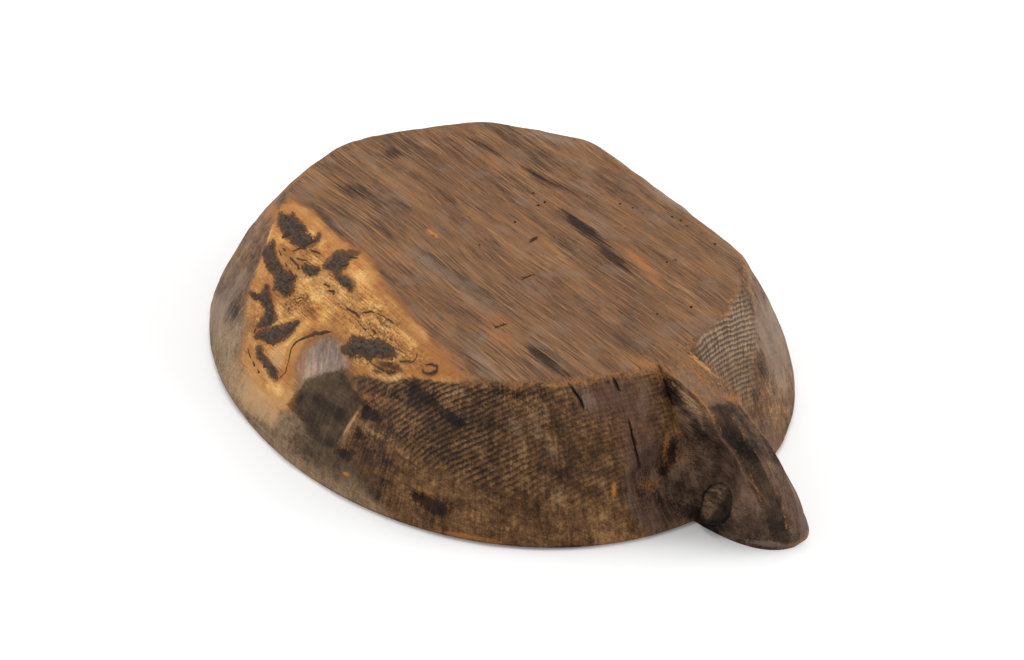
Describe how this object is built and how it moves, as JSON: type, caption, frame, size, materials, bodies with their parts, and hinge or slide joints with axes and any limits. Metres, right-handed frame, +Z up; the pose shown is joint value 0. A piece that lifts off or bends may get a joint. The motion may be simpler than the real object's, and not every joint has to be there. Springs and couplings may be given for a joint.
{
  "type": "carved handled bowl",
  "caption": "Oval wooden bowl hewn from a half log, lying mouth down, with a deep keel-shaped lug handle carved from the same block and bark left along one side of its base.",
  "frame": {"origin": "on the table plane, which is the rim's plane, under the middle of the box round the bowl and its handle", "axes": "+Z up from the rim to the base face, +X out along the handle, +Y to the side away from the bark"},
  "size_m": [0.442, 0.3262, 0.0781],
  "materials": {
    "weathered_wood": "weathered, worn and oiled by use",
    "knot_wood": "dark end grain, cracked round its edge",
    "bark": "dry charcoal-grey bark"
  },
  "bodies": {
    "root": {"carved_bowl": "weathered_wood", "handle_knot": "knot_wood", "bark_patch_1": "bark", "bark_patch_2": "bark", "bark_patch_3": "bark", "bark_patch_4": "bark", "bark_patch_5": "bark", "bark_patch_6": "bark", "bark_patch_7": "bark", "bark_patch_8": "bark", "bark_patch_9": "bark"}
  },
  "joints": []
}
